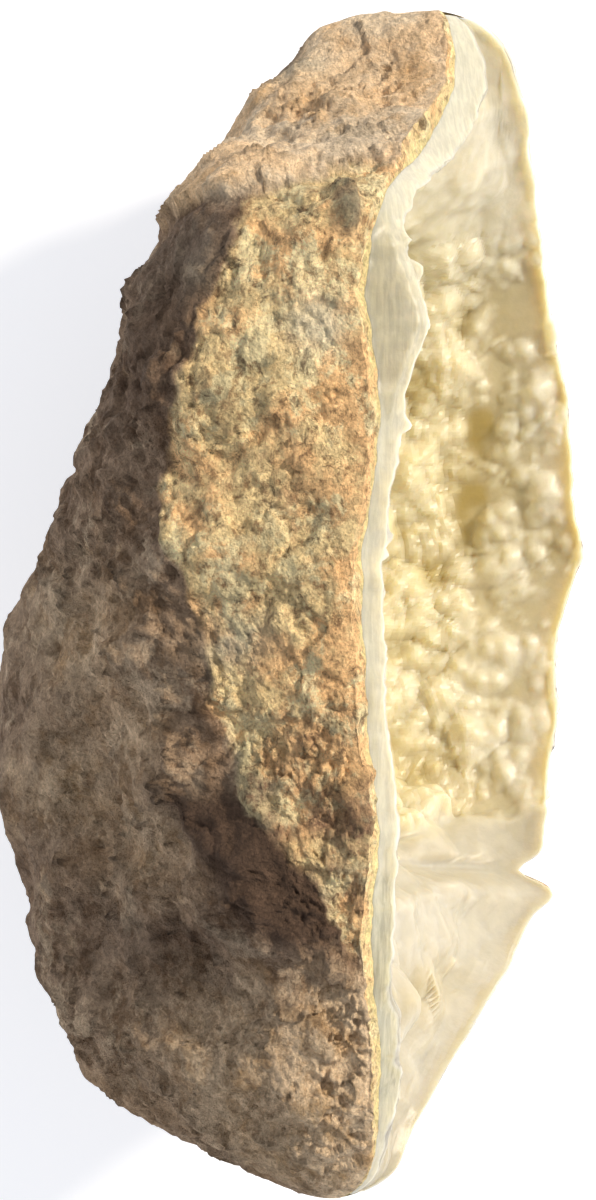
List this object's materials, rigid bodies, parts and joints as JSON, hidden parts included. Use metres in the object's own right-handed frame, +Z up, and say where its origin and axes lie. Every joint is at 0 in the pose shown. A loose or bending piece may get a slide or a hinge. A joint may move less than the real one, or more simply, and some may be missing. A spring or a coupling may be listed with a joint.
{
  "type": "geode half",
  "caption": "Half of a broken geode lying on its side: a rough brown limestone rind round a hollow lined with a milky quartz crust and crystal points.",
  "frame": {"origin": "on the flat base that the stone rests on, below the middle of its bounding box", "axes": "+Z up; +X along the stone's longest extent, towards the end with the smooth scoop; the hollow opens towards -Y and leans a little upwards"},
  "size_m": [0.125, 0.0638, 0.0746],
  "materials": {
    "rind": "weathered limestone, rough and matt",
    "crystal_crust": "milky quartz, translucent, with bright crystal faces"
  },
  "bodies": {
    "root": {"rind": "rind", "crystal_crust": "crystal_crust"}
  },
  "joints": []
}
